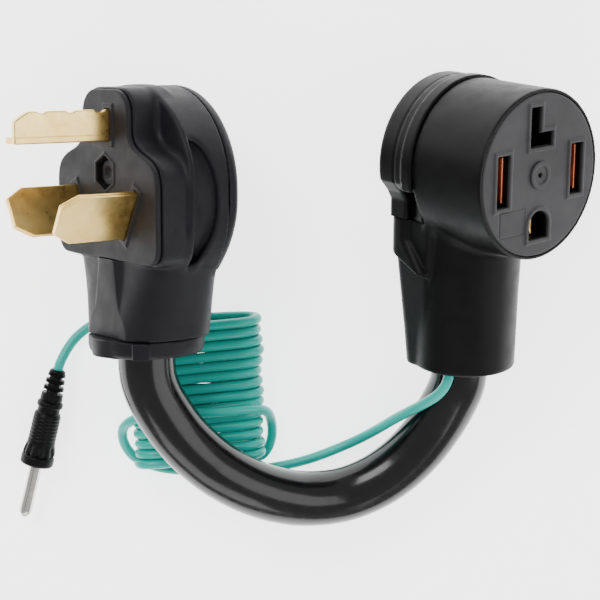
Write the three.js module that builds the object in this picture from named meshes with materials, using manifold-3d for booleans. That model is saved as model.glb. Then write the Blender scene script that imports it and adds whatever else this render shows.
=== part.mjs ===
// Power adapter dogbone: a three-blade plug and a four-slot receptacle on one short cord,
// with a separate green earth lead that ends in a round pin. It lies on a table.
// Millimetres. +X runs from the plug to the receptacle, +Y away from the cord's U, +Z up.
import * as THREE from 'three';
import { mergeVertices } from 'three/addons/utils/BufferGeometryUtils.js';
import Module from 'manifold-3d';

const wasm = await Module();
wasm.setup();

// Driving dimensions
const GAP = 0.3;
const CORD_R = 8.75;
const BORE_R = CORD_R + 0.35;
const WIRE_R = 1.6;
const TAIL_R = 2.1;
const COLLAR_R = 17.4;
const CLAMP_R = 10.3;

// Each head has its own frame: x across the face, y away from its neck, z out of the face,
// with the cord's axis along y at x = z = 0 and y = 0 at the shoulder.
const PLUG = { at: [-46.5, 12.2, 31], turn: -51.8, pitch: 0 };
const RECEPTACLE = { at: [50.2, 11.6, 20.2], turn: 40.7, pitch: 7.8 };

// Plug
const DOME = { r: 29.8, centreY: 25.1, sideY: 14, shoulder: 24, back: -10, front: 3.3 };
const PLUG_BACK = -14.6;
const COVER_ROUND = 3.6;
const BLOCK_FRONT = 12.3;
const PAD = { half: 27.3, tab: 12.5, bottom: 4, top: 54, front: 13.8 };
const CARRIER_INSET = 4;
const CARRIER_BACK = 6;
const SHEET = 1.9;
const HOT = { x: 13.5, y: 17.9, lean: 28, width: 15.6, tip: 38.2 };
const NEUTRAL = { x: -0.6, y: 43.3, width: 7.6, height: 9.8, tip: 45.2 };
const BLADE_BACK = 1;
const PLUG_NECK_END = -19.8;
const PLUG_EXIT = -25.2;

// Receptacle
const DRUM = { r: 25.2, centreY: 33.4, back: 3, front: 30 };
const COVER = { r: 25.6, back: -11.6, half: 20.6, bottom: 17, waist: 23, hollowR: 21.5 };
const DRUM_HOLLOW_R = 20;
const FACE_R = 24.1;
const FACE_DEPTH = 3.2;
const LINE_SLOT = { x: 15.7, width: 5.2, height: 15.4 };
const NEUTRAL_SLOT = { x: 0, y: 47.7, width: 4.4, leg: 12, foot: 9.6 };
const GROUND_SLOT = { y: 18.6, r: 4.3 };
const CONTACT_DEPTH = 12.4;
const BUSHING_TOP = -24.5;
const BUSHING_R = 13.3;
const BUSHING_BACK = -9.9;
const RECEPTACLE_EXIT = -30.8;
const LEAD_EXIT = { x: -9.7, z: 5 };

const rad = THREE.MathUtils.degToRad;
const material = (color, roughness, metalness = 0) =>
  new THREE.MeshStandardMaterial({ color, roughness, metalness });
const BLACK = material(0x2b2a30, 0.62);
const SATIN = material(0x191919, 0.45);
const GREY = material(0x57565c, 0.6);
const CARRIER = material(0x222226, 0.6);
const BRASS = material(0xd8b268, 0.3, 1);
const COPPER = material(0xb06a3c, 0.35, 1);
const NICKEL = material(0xc8c6c0, 0.25, 1);
const PVC_BLACK = material(0x0d0d0e, 0.2);
const PVC_RED = material(0xa3221c, 0.4);
const PVC_WHITE = material(0xe8e6e0, 0.4);
const PVC_GREEN = material(0x20b2aa, 0.35);

const root = new THREE.Group();

// ---- solids ----
function solid(geometry) {
  const bare = geometry.index ? geometry : geometry.clone();
  bare.deleteAttribute('normal');
  bare.deleteAttribute('uv');
  const merged = mergeVertices(bare, 1e-4);
  return new wasm.Manifold(new wasm.Mesh({
    numProp: 3,
    vertProperties: new Float32Array(merged.attributes.position.array),
    triVerts: new Uint32Array(merged.index.array),
  }));
}

function geometryOf(manifold) {
  const mesh = manifold.getMesh();
  const geometry = new THREE.BufferGeometry();
  geometry.setAttribute('position', new THREE.BufferAttribute(new Float32Array(mesh.vertProperties), 3));
  geometry.setIndex(new THREE.BufferAttribute(new Uint32Array(mesh.triVerts), 1));
  geometry.computeVertexNormals();
  return geometry;
}

const place = (geometry, x = 0, y = 0, z = 0) => solid(geometry.translate(x, y, z));

function box(x0, x1, y0, y1, z0, z1) {
  const geometry = new THREE.BoxGeometry(x1 - x0, y1 - y0, z1 - z0);
  return place(geometry, (x0 + x1) / 2, (y0 + y1) / 2, (z0 + z1) / 2);
}

// A prism of a shape in the XY plane, with an optional rounded edge at both ends.
function prism(shape, z0, z1, round = 0, curve = 8) {
  const geometry = new THREE.ExtrudeGeometry(shape, {
    depth: z1 - z0 - 2 * round, bevelEnabled: round > 0, bevelThickness: round,
    bevelSize: round, bevelOffset: -round, bevelSegments: 2, curveSegments: curve,
  });
  return place(geometry, 0, 0, z0 + round);
}

// A body of revolution about y, from [radius, y] pairs that start and end on the axis.
function turned(profile, sides = 24) {
  return solid(new THREE.LatheGeometry(profile.map(([r, y]) => new THREE.Vector2(r, y)), sides));
}

const rod = (radius, y0, y1, sides = 24) => turned([[0, y0], [radius, y0], [radius, y1], [0, y1]], sides);

// A closed body through rounded sections across y, each reaching from back to front in z.
function loft(sections, sides = 28) {
  const points = [];
  for (const [y, half, back, front, power] of sections) {
    for (let i = 0; i < sides; i++) {
      const a = (2 * Math.PI * i) / sides;
      const c = Math.cos(a);
      const s = Math.sin(a);
      const x = half * Math.sign(c) * Math.abs(c) ** (2 / power);
      const z = (front - back) / 2 * Math.sign(s) * Math.abs(s) ** (2 / power) + (front + back) / 2;
      points.push(x, y, z);
    }
  }
  const index = [];
  for (let k = 0; k + 1 < sections.length; k++) {
    for (let i = 0; i < sides; i++) {
      const j = (i + 1) % sides;
      const [a, b, c, d] = [k * sides + i, k * sides + j, (k + 1) * sides + i, (k + 1) * sides + j];
      index.push(a, b, c, b, d, c);
    }
  }
  const last = (sections.length - 1) * sides;
  for (let i = 1; i + 1 < sides; i++) {
    index.push(0, i + 1, i);
    index.push(last, last + i, last + i + 1);
  }
  const geometry = new THREE.BufferGeometry();
  geometry.setAttribute('position', new THREE.Float32BufferAttribute(points, 3));
  geometry.setIndex(index);
  return solid(geometry);
}

// A round tube along points, closed at both ends.
function tube(points, radius, steps, sides = 8) {
  const curve = new THREE.CatmullRomCurve3(points.map((p) => new THREE.Vector3(...p)));
  const ring = new THREE.Shape();
  for (let i = 0; i < sides; i++) {
    const a = (2 * Math.PI * i) / sides;
    ring[i ? 'lineTo' : 'moveTo'](radius * Math.cos(a), radius * Math.sin(a));
  }
  ring.closePath();
  return new THREE.ExtrudeGeometry(ring, { steps, extrudePath: curve, curveSegments: 1 });
}

function mesh(name, shape, look, parent) {
  const geometry = shape.isBufferGeometry ? shape : geometryOf(shape);
  const part = new THREE.Mesh(geometry, look);
  part.name = name;
  parent.add(part);
  return part;
}

function head(frame) {
  const group = new THREE.Group();
  group.position.set(...frame.at);
  group.rotation.set(rad(frame.pitch), rad(frame.turn), 0);
  root.add(group);
  return group;
}

// ---- outlines ----
// An arch: straight sides that draw in to the shoulder, under a half-round top.
function archShape({ r, centreY, sideY, shoulder }, grow = 0) {
  const shape = new THREE.Shape();
  shape.moveTo(-shoulder - grow, -grow);
  shape.quadraticCurveTo(-r - grow, sideY / 2, -r - grow, sideY);
  shape.lineTo(-r - grow, centreY);
  shape.absarc(0, centreY, r + grow, Math.PI, 0, true);
  shape.lineTo(r + grow, sideY);
  shape.quadraticCurveTo(r + grow, sideY / 2, shoulder + grow, -grow);
  shape.closePath();
  return shape;
}

// The face's outline: a narrow tab over a wide lower part, joined by S-shaped shoulders.
function padShape(inset = 0) {
  const half = PAD.half - inset;
  const tab = PAD.tab - inset;
  const top = PAD.top - inset;
  const bottom = PAD.bottom + inset;
  const corner = 5;
  const shape = new THREE.Shape();
  shape.moveTo(-half + corner, bottom);
  shape.lineTo(half - corner, bottom);
  shape.quadraticCurveTo(half, bottom, half, bottom + corner);
  shape.lineTo(half, 26 - inset / 2);
  shape.bezierCurveTo(half, 38 - inset, tab + 1, 33 - inset, tab, 42 - inset);
  shape.lineTo(tab, top - corner);
  shape.quadraticCurveTo(tab, top, tab - corner, top);
  shape.lineTo(-tab + corner, top);
  shape.quadraticCurveTo(-tab, top, -tab, top - corner);
  shape.lineTo(-tab, 42 - inset);
  shape.bezierCurveTo(-tab - 1, 33 - inset, -half, 38 - inset, -half, 26 - inset / 2);
  shape.lineTo(-half, bottom + corner);
  shape.quadraticCurveTo(-half, bottom, -half + corner, bottom);
  return shape;
}

function rectangle(cx, cy, width, height, lean = 0) {
  const shape = new THREE.Shape();
  const corners = [[-1, -1], [1, -1], [1, 1], [-1, 1]];
  const [c, s] = [Math.cos(rad(-lean)), Math.sin(rad(-lean))];
  corners.forEach(([i, j], k) => {
    const [x, y] = [i * width / 2, j * height / 2];
    shape[k ? 'lineTo' : 'moveTo'](cx + x * c - y * s, cy + x * s + y * c);
  });
  shape.closePath();
  return shape;
}

// An L: an upright leg with a foot at its bottom, which points to the side given.
function ellShape(cx, cy, foot, leg, thick, side, grow = 0) {
  const heel = cx - side * (foot / 2 + grow);
  const toe = cx + side * (foot / 2 + grow);
  const shin = heel + side * (thick + 2 * grow);
  const low = cy - leg / 2 - grow;
  const high = cy + leg / 2 + grow;
  const step = low + thick + 2 * grow;
  const points = [[heel, low], [toe, low], [toe, step], [shin, step], [shin, high], [heel, high]];
  if (side < 0) points.reverse();
  return new THREE.Shape(points.map(([x, y]) => new THREE.Vector2(x, y)));
}

// The earth slot: round at its top, flat at its bottom.
function groundShape({ y, r }, grow = 0) {
  const shape = new THREE.Shape();
  shape.moveTo(-r - grow, y - r - grow);
  shape.lineTo(r + grow, y - r - grow);
  shape.lineTo(r + grow, y);
  shape.absarc(0, y, r + grow, 0, Math.PI, false);
  shape.closePath();
  return shape;
}

const hotShape = (side, grow = 0) =>
  rectangle(side * HOT.x, HOT.y, SHEET + 2 * grow, HOT.width + 2 * grow, side * HOT.lean);
const neutralBlade = (grow = 0) =>
  ellShape(NEUTRAL.x, NEUTRAL.y, NEUTRAL.width, NEUTRAL.height, SHEET, -1, grow);

// ---- plug ----
const plug = head(PLUG);

function plugBody() {
  const dome = prism(archShape(DOME), DOME.back, DOME.front, 1.2);
  const block = prism(padShape(-0.6), DOME.front - 2, BLOCK_FRONT, 0.8, 5);
  const neck = loft([
    [8, 25, DOME.back, 11.5, 3.4], [0, 24.5, -15.8, 12.2, 3], [-8, 21.8, -16.6, 14, 2.7],
    [-14, 19.6, -16.8, 15.6, 2.5], [PLUG_NECK_END, 18, -COLLAR_R, 17, 2.3],
  ]);
  const pocket = prism(padShape(CARRIER_INSET - GAP), DOME.back - 1, BLOCK_FRONT + 1, 0, 5);
  const hollow = box(-19, 19, 3, 12, DOME.back + 1.5, 7);
  const clampSeat = rod(CLAMP_R + GAP, -6.3, 7);
  let body = dome.add(block).add(neck).subtract(rod(BORE_R, PLUG_NECK_END - 1, 0));
  body = body.subtract(pocket).subtract(hollow).subtract(clampSeat);
  for (const side of [-1, 1]) {
    const grip = prism(archShape({ ...DOME, r: 22 }, 0), -7.5, 0.5, 1.5).translate([side * 49.4, 0, 0]);
    body = body.subtract(grip);
  }
  return body.subtract(prism(archShape(DOME, 5), PLUG_BACK - 5, DOME.back));
}
mesh('plug_body', plugBody(), BLACK, plug);

function plugRearCover() {
  const shell = prism(archShape(DOME), PLUG_BACK, DOME.back - GAP + COVER_ROUND, COVER_ROUND);
  const trimmed = shell.subtract(box(-40, 40, -20, 70, DOME.back - GAP, DOME.back + 20));
  return trimmed.subtract(loft([
    [9, 25.5, -30, 11.5, 3.4], [3.5, 25.5, -30, 12.2, 3], [-20, 22, -30, 14, 2.7],
  ]).intersect(box(-40, 40, -30, 4.4, -40, 20)));
}
mesh('plug_rear_cover', plugRearCover(), BLACK, plug);

function bladeCarrier() {
  const plate = prism(padShape(0), BLOCK_FRONT + GAP, PAD.front, 0.4, 5);
  const core = prism(padShape(CARRIER_INSET), CARRIER_BACK, BLOCK_FRONT + 1, 0, 5);
  let carrier = plate.add(core);
  carrier = carrier.subtract(prism(neutralBlade(GAP), 0, 20));
  for (const side of [-1, 1]) carrier = carrier.subtract(prism(hotShape(side, GAP), 0, 20));
  return carrier.subtract(place(new THREE.CylinderGeometry(3.9, 3.9, 12, 6).rotateX(Math.PI / 2), 0, 29, 9));
}
mesh('blade_carrier', bladeCarrier(), CARRIER, plug);

mesh('neutral_blade', prism(neutralBlade(), BLADE_BACK, NEUTRAL.tip, 0.25, 1), BRASS, plug);
for (const [side, name] of [[-1, 'left'], [1, 'right']]) {
  const bar = prism(hotShape(side), BLADE_BACK, HOT.tip, 0.25, 1);
  mesh(`hot_blade_${name}`, bar, BRASS, plug);
}
const boss = new THREE.CylinderGeometry(3.1, 3.1, 9, 18).rotateX(Math.PI / 2);
mesh('plug_centre_rivet', place(boss, 0, 29, 8.3), BRASS, plug);

// Each conductor runs from the jacket's end to a crimp behind its blade.
const TAILS = [
  { name: 'black', from: [-4.4, -2.6], to: [-15.5, 9], look: PVC_BLACK },
  { name: 'white', from: [0, 4.4], to: [0.8, 33], look: PVC_WHITE },
  { name: 'red', from: [4.4, -2.6], to: [15.5, 9], look: PVC_RED },
];
const TAIL_START = 0.4;
for (const { name, from, to, look } of TAILS) {
  const [x, y] = to;
  const path = [[from[0], TAIL_START, from[1]], [from[0], 3.5, from[1]],
    [(from[0] + x) / 2, (y + 4) / 2, -3], [x, y - 1.5, -4], [x, y, -4]];
  mesh(`plug_wire_${name}`, tube(path, TAIL_R, 12), look, plug);
  mesh(`plug_crimp_${name}`, rod(2.9, y + GAP, y + 8, 12).translate([x, 0, -4]), BRASS, plug);
}

const clampRing = (y0, y1) => rod(CLAMP_R, y0, y1).subtract(rod(BORE_R, y0 - 1, y1 + 1));
mesh('plug_cord_clamp', clampRing(-6, -1), CARRIER, plug);

function plugCollar() {
  const ring = turned([[0, PLUG_EXIT], [15.8, PLUG_EXIT], [16.8, PLUG_EXIT + 1], [COLLAR_R - 0.4, PLUG_EXIT + 2.6],
    [COLLAR_R - 0.4, PLUG_NECK_END - GAP], [0, PLUG_NECK_END - GAP]], 28);
  return ring.subtract(rod(BORE_R, PLUG_EXIT - 1, PLUG_NECK_END + 1));
}
mesh('plug_collar', plugCollar(), BLACK, plug);

// ---- receptacle ----
const receptacle = head(RECEPTACLE);
const face = DRUM.front - FACE_DEPTH;
const contactBack = face - CONTACT_DEPTH;
const neutralSlot = (grow = 0) =>
  ellShape(NEUTRAL_SLOT.x, NEUTRAL_SLOT.y, NEUTRAL_SLOT.foot, NEUTRAL_SLOT.leg, NEUTRAL_SLOT.width, 1, grow);
const lineSlot = (side, grow = 0) =>
  rectangle(side * LINE_SLOT.x, DRUM.centreY, LINE_SLOT.width + 2 * grow, LINE_SLOT.height + 2 * grow);
const slots = (grow = 0) => [lineSlot(-1, grow), lineSlot(1, grow), neutralSlot(grow), groundShape(GROUND_SLOT, grow)];

function receptacleHousing() {
  const drum = turned([[0, DRUM.back], [DRUM.r, DRUM.back], [DRUM.r, DRUM.front - 0.8],
    [DRUM.r - 0.8, DRUM.front], [0, DRUM.front]], 40).rotate([90, 0, 0]).translate([0, DRUM.centreY, 0]);
  const neck = loft([
    [16.7, 20.6, -11.6, 22, 4], [8, 20.6, -11.7, 21, 3.8], [0, 19.8, -11.9, 19, 3.4], [-10, 18, -12.1, 17.8, 3],
    [-20, 16.8, -12.2, 17.2, 2.9], [-27.5, 16.2, -12.2, 16.8, 2.8],
    [RECEPTACLE_EXIT, 15.2, -12, 15.9, 2.8],
  ]);
  const well = turned([[0, contactBack - 4], [FACE_R + GAP, contactBack - 4], [FACE_R + GAP, DRUM.front + 1],
    [0, DRUM.front + 1]], 40).rotate([90, 0, 0]).translate([0, DRUM.centreY, 0]);
  let body = drum.add(neck).subtract(well).subtract(rod(BORE_R, RECEPTACLE_EXIT - 1, 8));
  body = body.subtract(box(-15, 15, 2, 16.6, -7, 12)).subtract(rod(CLAMP_R + GAP, -6.3, 4));
  const exit = rod(BUSHING_R + GAP, RECEPTACLE_EXIT - 1, BUSHING_TOP, 28)
    .subtract(box(-20, 20, -40, 0, -30, BUSHING_BACK - GAP));
  const wireWay = rod(WIRE_R + GAP, BUSHING_TOP - 1, 7, 10).translate([LEAD_EXIT.x, 0, LEAD_EXIT.z]);
  const drumHollow = rod(DRUM_HOLLOW_R, DRUM.back - 1, contactBack - 3, 32).rotate([90, 0, 0]);
  return body.subtract(exit).subtract(wireWay).subtract(drumHollow.translate([0, DRUM.centreY, 0]));
}
mesh('receptacle_housing', receptacleHousing(), SATIN, receptacle);

// The hood's outline: a round top that draws in at its waist to straight sides.
function hoodShape() {
  const shape = new THREE.Shape();
  shape.moveTo(-COVER.half, COVER.bottom);
  shape.lineTo(COVER.half, COVER.bottom);
  shape.lineTo(COVER.half, COVER.waist);
  shape.absarc(0, DRUM.centreY, COVER.r, rad(-9), rad(189), false);
  shape.lineTo(-COVER.half, COVER.waist);
  shape.closePath();
  return shape;
}

const coreRod = (radius, z0, z1) => rod(radius, z0, z1, 32).rotate([90, 0, 0]).translate([0, DRUM.centreY, 0]);

function receptacleRearCover() {
  const shell = prism(hoodShape(), COVER.back, DRUM.back - GAP, 2.4, 20);
  const hollow = coreRod(COVER.hollowR, COVER.back + 3.6, DRUM.back + 1);
  return shell.subtract(hollow.intersect(box(-60, 60, 22, 60, -60, 60))).subtract(box(-10, 10, 16, 23, -6, 6));
}
mesh('receptacle_rear_cover', receptacleRearCover(), SATIN, receptacle);

function receptacleFace() {
  let disc = turned([[0, face], [FACE_R, face], [FACE_R, DRUM.front - 0.5], [FACE_R - 0.5, DRUM.front],
    [0, DRUM.front]], 40).rotate([90, 0, 0]).translate([0, DRUM.centreY, 0]);
  for (const slot of slots()) disc = disc.subtract(prism(slot, face - 1, DRUM.front + 1, 0, 6));
  const rivetSeat = rod(3.3, face - 1, DRUM.front + 1, 18).rotate([90, 0, 0]).translate([0, DRUM.centreY, 0]);
  return disc.subtract(rivetSeat);
}

function contactCarrier() {
  let core = rod(FACE_R - 1, contactBack, face - GAP, 32).rotate([90, 0, 0]).translate([0, DRUM.centreY, 0]);
  for (const slot of slots(1.4)) core = core.subtract(prism(slot, contactBack - 1, face + 1, 0, 6));
  const rivetSeat = rod(3.3, contactBack - 1, face + 1, 18).rotate([90, 0, 0]).translate([0, DRUM.centreY, 0]);
  return core.subtract(rivetSeat);
}

mesh('receptacle_face', receptacleFace(), GREY, receptacle);
mesh('contact_carrier', contactCarrier(), CARRIER, receptacle);

// A contact is a sleeve that lines its slot in the carrier, open at the face.
const sleeve = (outer, inner) => prism(outer, contactBack + 1, face - 2 * GAP, 0, 6)
  .subtract(prism(inner, contactBack + 2.5, face + 1, 0, 6));
const CONTACTS = [
  ['line_contact_left', sleeve(lineSlot(-1, 1.1), lineSlot(-1, 0.2)), COPPER],
  ['line_contact_right', sleeve(lineSlot(1, 1.1), lineSlot(1, 0.2)), COPPER],
  ['neutral_contact', sleeve(neutralSlot(1.1), neutralSlot(0.2)), BRASS],
  ['ground_contact', sleeve(groundShape(GROUND_SLOT, 1.1), groundShape(GROUND_SLOT, 0.2)), BRASS],
];
for (const [name, shape, look] of CONTACTS) mesh(name, shape, look, receptacle);
const rivet = rod(3, contactBack - 1, DRUM.front + 0.7, 18).rotate([90, 0, 0]);
mesh('receptacle_centre_rivet', rivet.translate([0, DRUM.centreY, 0]), GREY, receptacle);

const leadWay = rod(WIRE_R + GAP, -7, 0, 10).translate([LEAD_EXIT.x, 0, LEAD_EXIT.z]);
mesh('receptacle_cord_clamp', clampRing(-6, -1).subtract(leadWay), CARRIER, receptacle);
for (const { name, from, look } of TAILS) {
  const path = [[from[0], TAIL_START, from[1]], [from[0], 5, from[1]], [from[0] * 1.6, 10, from[1]],
    [from[0] * 1.9, 15.6, from[1]]];
  mesh(`receptacle_wire_${name}`, tube(path, TAIL_R, 8), look, receptacle);
}

function neckBushing() {
  let ring = rod(BUSHING_R, RECEPTACLE_EXIT + 0.6, BUSHING_TOP - GAP, 28);
  ring = ring.subtract(box(-20, 20, -40, 0, -30, BUSHING_BACK));
  ring = ring.subtract(rod(BORE_R, RECEPTACLE_EXIT - 1, BUSHING_TOP + 1));
  const way = rod(WIRE_R + GAP, RECEPTACLE_EXIT - 1, BUSHING_TOP + 1, 10);
  return ring.subtract(way.translate([LEAD_EXIT.x, 0, LEAD_EXIT.z]));
}
mesh('receptacle_neck_bushing', neckBushing(), PVC_BLACK, receptacle);

// ---- cord and green lead, on the table ----
const CORD_ROUTE = [
  [-46.5, 11.8, 31], [-46.5, 3, 31], [-46.5, -8, 31], [-46.5, -17, 31], [-46, -22, 30.8],
  [-44.2, -27.5, 30.2], [-41, -33.5, 29.3], [-36.9, -39.8, 28.1], [-31.4, -46.1, 26.6], [-24.3, -52.3, 24.8],
  [-15.5, -58, 21.6], [-6.6, -62, 17.4], [2.5, -64.2, 13.1], [13.6, -63.8, 9.9], [23.6, -60.1, 8.95],
  [31.6, -54.6, 9], [38, -48, 9.8], [43.2, -40.6, 11.2], [47, -33.4, 13.1], [49.6, -26.6, 15],
  [50.2, -21.6, 15.65], [50.2, -10.5, 17.17], [50.2, 0, 18.61], [50.2, 11.2, 20.14],
];
const STRAND_ROUTE = [
  [46.11, 12.5, 30.53], [46.11, 0.2, 28.85], [46.11, -12, 27.18], [46.11, -21, 25.95], [45, -25.2, 25.4],
  [42.4, -28.6, 24], [38.3, -32, 20.8], [34.1, -35.3, 16.2], [29.7, -39, 11.2], [25.2, -42.9, 6.7],
  [20.2, -46.5, 3.4], [14.4, -49.6, 1.9], [6.7, -52.8, 1.75], [0.2, -54.9, 1.75], [-6.5, -56.4, 1.75],
  [-12.2, -57.2, 1.75],
];
const LEAD_ROUTE = [
  [-52, -5.2, 1.75], [-58.4, -6.6, 1.8], [-63.4, -8.4, 1.8], [-68.2, -11, 1.9], [-72.2, -14.4, 2.7],
  [-75.1, -18.6, 4.2], [-76.9, -22.5, 5.4], [-77.4, -24.4, 5.6],
];
const COIL = { x: -32.2, half: 22.6, height: 12.8, from: -5.2, to: -59.2 };
const CONNECTOR = { at: [-77.5, -24.8, 5.6], lean: -13.9 };

mesh('cord_jacket', tube(CORD_ROUTE, CORD_R, 72, 12), PVC_BLACK, root);
mesh('green_strand', tube(STRAND_ROUTE, WIRE_R, 44), PVC_GREEN, root);
mesh('green_lead', tube(LEAD_ROUTE, WIRE_R, 16), PVC_GREEN, root);

function greenCoil() {
  const outline = new THREE.Shape();
  outline.absellipse(0, 0, COIL.half, COIL.height / 2, 0, 2 * Math.PI);
  const winding = prism(outline, 0, COIL.from - COIL.to, 1, 14).rotate([90, 0, 0]);
  return winding.translate([COIL.x, COIL.from, COIL.height / 2 + 0.1]);
}
mesh('green_coil', greenCoil(), PVC_GREEN, root);

// The connector lies along -y of its own frame, with its disc on the table.
const connector = new THREE.Group();
connector.position.set(...CONNECTOR.at);
connector.rotation.z = rad(CONNECTOR.lean);
root.add(connector);
const RELIEF = [[0, -9.3], [3.6, -9.3], [3.3, -1], [2.6, -0.3], [0, -0.3]];
const GRIP = [[0, -27.2], [4.9, -27.2], [4.4, -24.2], [4.4, -14.4], [4, -13.4], [3.6, -13.2], [3.6, -11.6],
  [4.1, -11.2], [4.1, -9.6], [0, -9.6]];
const DISC = [[0, -31], [4.9, -31], [5.4, -30.4], [5.4, -28.2], [5, -27.5], [0, -27.5]];
const PIN = [[0, -48.9], [0.9, -48.7], [1.6, -48], [2, -46.8], [2, -31.3], [0, -31.3]];
mesh('pin_strain_relief', turned(RELIEF, 18), PVC_BLACK, connector);
mesh('pin_connector_body', turned(GRIP, 20), PVC_BLACK, connector);
mesh('pin_connector_disc', turned(DISC, 24), PVC_BLACK, connector);
mesh('ground_pin', turned(PIN, 18), NICKEL, connector);

// The origin is below the middle of the two heads, on the table.
root.updateMatrixWorld(true);
const heads = new THREE.Box3().setFromObject(plug, true).union(new THREE.Box3().setFromObject(receptacle, true));
const middle = heads.getCenter(new THREE.Vector3());
root.position.set(-middle.x, -middle.y, 0);

export default root;
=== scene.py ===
"""Power adapter dogbone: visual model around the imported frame."""
import math

import bmesh
import bpy
import numpy as np
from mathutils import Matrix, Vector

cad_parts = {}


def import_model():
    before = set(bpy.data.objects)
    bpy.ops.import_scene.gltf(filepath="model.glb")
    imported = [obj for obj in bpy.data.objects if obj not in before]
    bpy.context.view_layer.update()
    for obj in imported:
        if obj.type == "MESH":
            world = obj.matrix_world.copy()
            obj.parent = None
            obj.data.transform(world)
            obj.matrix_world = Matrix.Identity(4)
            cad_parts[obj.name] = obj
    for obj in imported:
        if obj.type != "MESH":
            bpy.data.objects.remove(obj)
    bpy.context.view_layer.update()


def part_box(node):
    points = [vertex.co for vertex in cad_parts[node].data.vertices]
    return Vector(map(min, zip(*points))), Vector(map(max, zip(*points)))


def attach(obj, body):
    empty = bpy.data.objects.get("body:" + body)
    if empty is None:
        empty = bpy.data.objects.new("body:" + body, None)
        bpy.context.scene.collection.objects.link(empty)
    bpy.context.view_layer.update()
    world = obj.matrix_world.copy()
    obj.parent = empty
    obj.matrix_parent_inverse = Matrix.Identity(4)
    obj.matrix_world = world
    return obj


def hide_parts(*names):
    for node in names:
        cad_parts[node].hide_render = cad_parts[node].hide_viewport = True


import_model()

import openvdb
from mathutils import Euler, Matrix, Vector

MM = 0.001
BODY = "root"

# Driving dimensions, in millimetres, the same as the design's
CORD_R = 8.75
WIRE_R = 1.6
PLUG_AT = (-46.5, 12.2, 31)
PLUG_TURN = -51.8
RECEPTACLE_AT = (50.2, 11.6, 20.2)
RECEPTACLE_TURN = 40.7
RECEPTACLE_PITCH = 7.8
PLUG_EXIT = -25.2
PLUG_NECK_END = -19.8
RECEPTACLE_EXIT = -30.8
LEAD_EXIT = (-9.7, 5.0)
DOME_R = 29.8
DOME_Y = 25.1
DRUM_R = 25.2
DRUM_Y = 33.4
DRUM_BACK = 3.0
DRUM_HOLLOW_R = 20
COVER_R = 25.6
COVER_BACK = -11.6
COVER_HALF = 20.6
COVER_BOTTOM = 17.0
PLATE_TOP = COVER_BOTTOM - 0.1
COVER_HOLLOW_R = 21.5
BUSHING_R = 13.3
BUSHING_BACK = -9.9
FACE_R = 24.1
FACE_Z = 30.0
PAD_Z = 13.8

# The camera looks down at the table, tilted back a little: lengths in millimetres
CAMERA_TILT = 8.46
CAMERA_DISTANCE = 537.5
CAMERA_TARGET = (0.17, 0.13, 15)
CAMERA_SENSOR = 36
VIEW_WIDTH = 187.5

# The studio: each light's name, place, power and size, in metres and watts
LIGHTS = (
    ("key", (-0.45, 0.55, 0.75), 8, (0.5, 0.5)),
    ("fill", (0.75, -0.1, 0.6), 5, (0.6, 0.9)),
    ("low", (-0.1, -0.8, 0.45), 4, (0.9, 0.4)),
)
LIGHT_AIM = (0, 0, 0.02)
SKY_STRENGTH = 0.7
FLOOR_SIZE = 3.0
FLOOR_DROP = 0.0003
FLOOR_GLOW = 2.6

# The frame's origin lies below the middle of both heads, so the collar tells the shift.
collar_low, collar_high = (Vector(c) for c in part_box("plug_collar"))
SHIFT = Vector((
    (collar_low.x + collar_high.x) / 2 - PLUG_AT[0] * MM,
    collar_low.y - (PLUG_AT[1] + PLUG_EXIT) * MM,
    0.0,
))


def world(point):
    """A point of the table's layout, in millimetres, as metres in the frame."""
    return Vector(point) * MM + SHIFT


def head_matrix(at, turn, pitch):
    """Takes a head's own millimetres to the frame's metres."""
    spin = Euler((math.radians(pitch), 0, 0)).to_matrix() @ Euler((0, math.radians(turn), 0)).to_matrix()
    return Matrix.Translation(world(at)) @ spin.to_4x4() @ Matrix.Scale(MM, 4)


PLUG = head_matrix(PLUG_AT, PLUG_TURN, 0)
RECEPTACLE = head_matrix(RECEPTACLE_AT, RECEPTACLE_TURN, RECEPTACLE_PITCH)


# ---- camera and light ----
def make_camera():
    tilt = math.radians(CAMERA_TILT)
    back = Vector((0, math.sin(tilt), math.cos(tilt)))
    data = bpy.data.cameras.new("camera")
    data.sensor_width = CAMERA_SENSOR
    data.lens = CAMERA_SENSOR * CAMERA_DISTANCE / VIEW_WIDTH
    data.clip_start = 0.01
    camera = bpy.data.objects.new("camera", data)
    camera.location = world(CAMERA_TARGET) + back * CAMERA_DISTANCE * MM
    right = Vector((1, 0, 0))
    camera.rotation_euler = Matrix((right, back.cross(right), back)).transposed().to_euler()
    bpy.context.scene.collection.objects.link(camera)
    bpy.context.scene.camera = camera


def area_light(name, at, power, size):
    data = bpy.data.lights.new(name, "AREA")
    data.energy = power
    data.shape = "RECTANGLE"
    data.size, data.size_y = size
    light = bpy.data.objects.new(name, data)
    light.location = at
    light.rotation_euler = (Vector(LIGHT_AIM) - Vector(at)).to_track_quat("-Z", "Y").to_euler()
    bpy.context.scene.collection.objects.link(light)


def make_studio():
    for light in LIGHTS:
        area_light(*light)
    sky = bpy.data.worlds.new("studio")
    sky.use_nodes = True
    background = sky.node_tree.nodes["Background"]
    background.inputs["Color"].default_value = (1, 1, 1, 1)
    background.inputs["Strength"].default_value = SKY_STRENGTH
    bpy.context.scene.world = sky


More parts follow.
